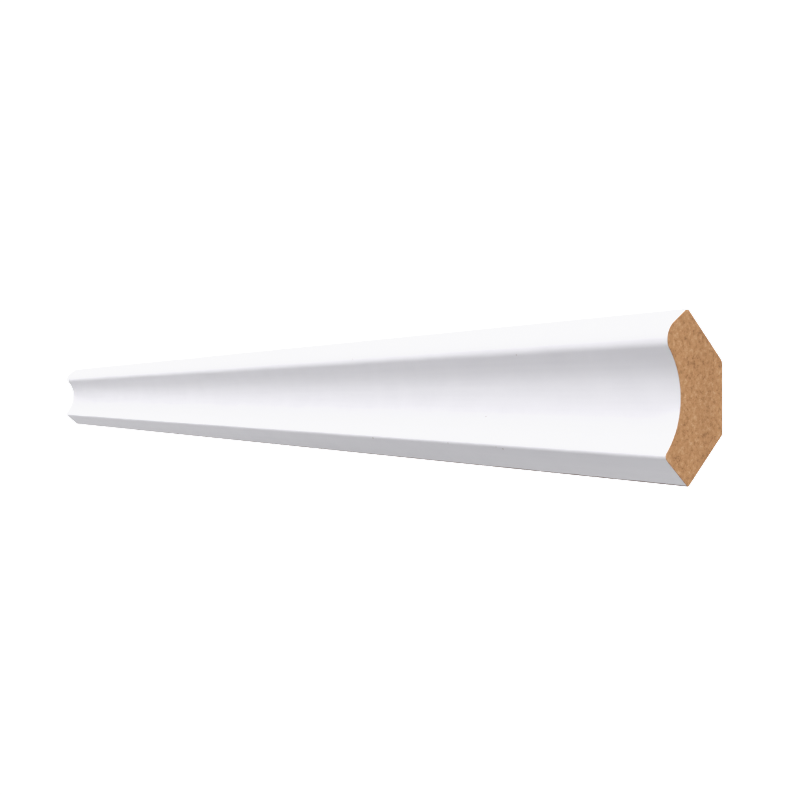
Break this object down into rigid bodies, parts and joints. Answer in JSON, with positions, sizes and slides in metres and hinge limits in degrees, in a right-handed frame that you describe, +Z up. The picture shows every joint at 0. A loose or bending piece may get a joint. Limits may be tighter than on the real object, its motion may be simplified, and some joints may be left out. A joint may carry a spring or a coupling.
{
  "type": "scotia moulding",
  "caption": "Short length of white-faced scotia trim for the joint of wall and ceiling, with a hollow cove, a rounded shoulder, flat fixing faces and square ends.",
  "frame": {"origin": "middle of the flat face that lies on the wall, half-way along the strip", "axes": "+X along the strip, +Y out of the wall face into the wall, +Z up, out of the ceiling face into the ceiling; the white face looks into the room, towards -Y and -Z"},
  "size_m": [0.37, 0.0191, 0.0187],
  "materials": {
    "coated_fibreboard": "factory-primed smooth white face; raw brown fibreboard on the back faces and both sawn ends"
  },
  "bodies": {
    "root": {"scotia_moulding": "coated_fibreboard"}
  },
  "joints": []
}
